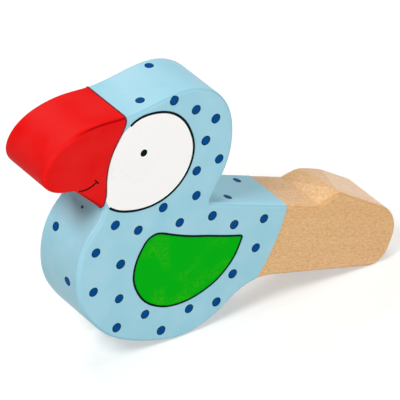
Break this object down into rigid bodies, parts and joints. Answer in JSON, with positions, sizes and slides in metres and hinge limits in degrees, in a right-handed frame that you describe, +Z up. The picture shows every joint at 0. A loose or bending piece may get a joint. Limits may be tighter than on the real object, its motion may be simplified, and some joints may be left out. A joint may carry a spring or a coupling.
{
  "type": "bird whistle",
  "caption": "Painted wooden bird cut from one board, blown at its bare tail, where a plugged bore and a window underneath sound as a bird call.",
  "frame": {"origin": "middle of the box, at the height of the surface that the belly and the lower corner of the tail rest on", "axes": "+Z up, beak towards -X and tail towards +X, the bird's left side towards -Y"},
  "size_m": [0.115, 0.0184, 0.0772],
  "materials": {
    "body_block": "fine sanded bare beech",
    "fipple_plug": "turned bare beech dowel",
    "body_coat": "satin pale blue lacquer",
    "beak_coat": "satin red lacquer",
    "eye_white": "printed white",
    "line_ink": "printed black",
    "wing_ink": "printed green",
    "dot_ink": "printed dark blue"
  },
  "bodies": {
    "root": {"body_block": "body_block", "fipple_plug": "fipple_plug", "body_coat": "body_coat", "beak_coat": "beak_coat", "left_eye_white": "eye_white", "right_eye_white": "eye_white", "left_eye_line": "line_ink", "right_eye_line": "line_ink", "left_pupil": "line_ink", "right_pupil": "line_ink", "left_wing": "wing_ink", "right_wing": "wing_ink", "left_wing_line": "line_ink", "right_wing_line": "line_ink", "left_mouth_line": "line_ink", "right_mouth_line": "line_ink", "left_side_dots": "dot_ink", "right_side_dots": "dot_ink", "edge_dots": "dot_ink"}
  },
  "joints": []
}
